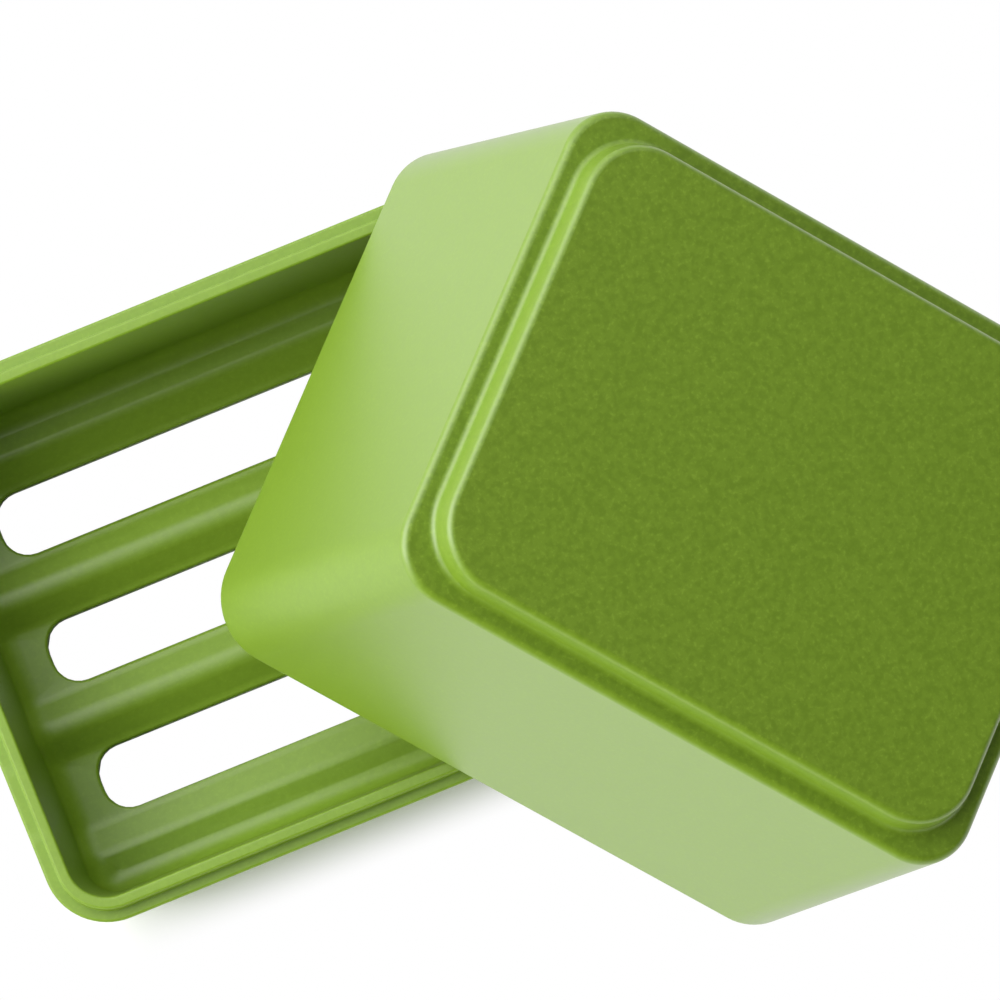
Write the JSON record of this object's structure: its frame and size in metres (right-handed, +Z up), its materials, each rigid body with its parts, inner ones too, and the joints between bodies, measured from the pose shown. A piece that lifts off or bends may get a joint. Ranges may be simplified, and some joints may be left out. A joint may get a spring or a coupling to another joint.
{
  "type": "travel soap box",
  "caption": "Open travel soap box: a tray with a ridged, slotted drain floor and a stepped rim, and a deep loose lid with a raised top that leans across it.",
  "frame": {"origin": "middle of the bottom of the box round the tray and the lid as they lie, on the surface they stand on", "axes": "+X along the tray's drain slots towards the side where the lid lies, +Y to the tray's far long side, +Z up"},
  "size_m": [0.1644, 0.121, 0.103],
  "materials": {
    "tray_plastic": "satin, finely flecked",
    "lid_plastic": "satin, finely flecked"
  },
  "bodies": {
    "tray": {"slotted_tray": "tray_plastic"},
    "lid": {"lid": "lid_plastic"}
  },
  "joints": [
    {"name": "lid_lift", "type": "slide", "parent": "tray", "child": "lid", "axis": [0.4353, -0.1077, 0.8938], "range_m": [0, 0.06]}
  ]
}
